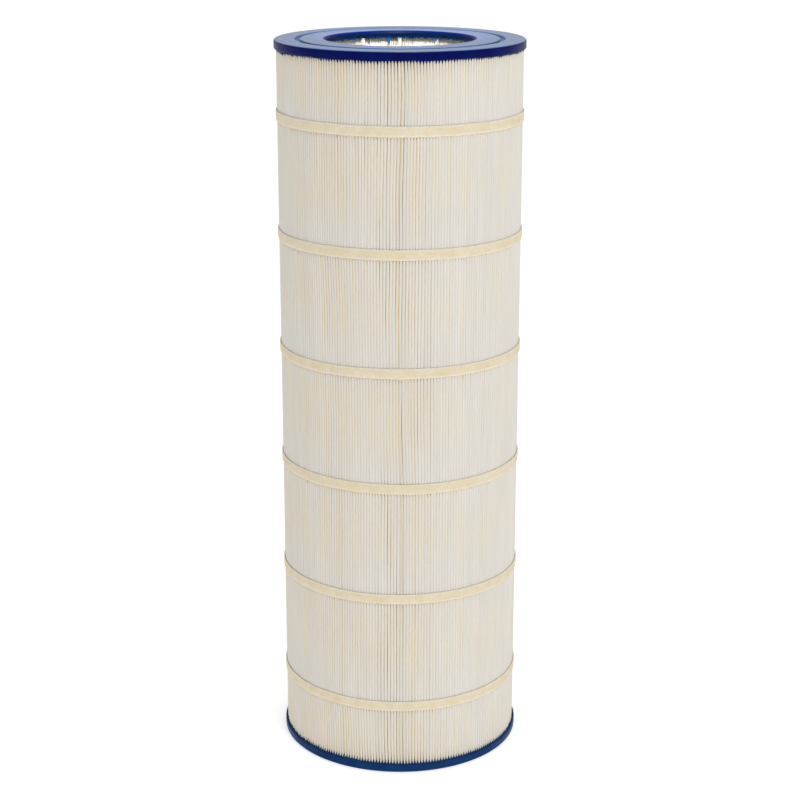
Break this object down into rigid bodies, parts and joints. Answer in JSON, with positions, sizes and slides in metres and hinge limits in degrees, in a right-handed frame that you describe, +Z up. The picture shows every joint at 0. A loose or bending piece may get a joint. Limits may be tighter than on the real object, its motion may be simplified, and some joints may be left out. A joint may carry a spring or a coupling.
{
  "type": "filter cartridge",
  "caption": "Tall round pleated filter cartridge: folded fabric media held by straps, between two ring end caps with open bores, over an open lattice core.",
  "frame": {"origin": "centre of the bottom end cap's face, on the cartridge's axis", "axes": "+Z up the cartridge's axis to the top end cap; -Y faces the seam of the pleated sheet"},
  "size_m": [0.227, 0.227, 0.672],
  "materials": {
    "end_cap_polyurethane": "satin moulded polyurethane",
    "filter_fabric": "matte spun-bonded polyester",
    "strap": "matte woven strap with glue showing through",
    "hot_melt_glue": "translucent amber glue",
    "core_plastic": "moulded, slightly satin"
  },
  "bodies": {
    "root": {"pleated_media": "filter_fabric", "media_seam_glue": "hot_melt_glue", "bottom_end_cap": "end_cap_polyurethane", "top_end_cap": "end_cap_polyurethane", "strap_1": "strap", "strap_2": "strap", "strap_3": "strap", "strap_4": "strap", "strap_5": "strap", "strap_6": "strap", "strap_glue_1": "hot_melt_glue", "strap_glue_2": "hot_melt_glue", "strap_glue_3": "hot_melt_glue", "strap_glue_4": "hot_melt_glue", "strap_glue_5": "hot_melt_glue", "strap_glue_6": "hot_melt_glue", "core_section_1": "core_plastic", "core_section_2": "core_plastic", "core_section_3": "core_plastic", "core_section_4": "core_plastic", "core_section_5": "core_plastic"}
  },
  "joints": []
}
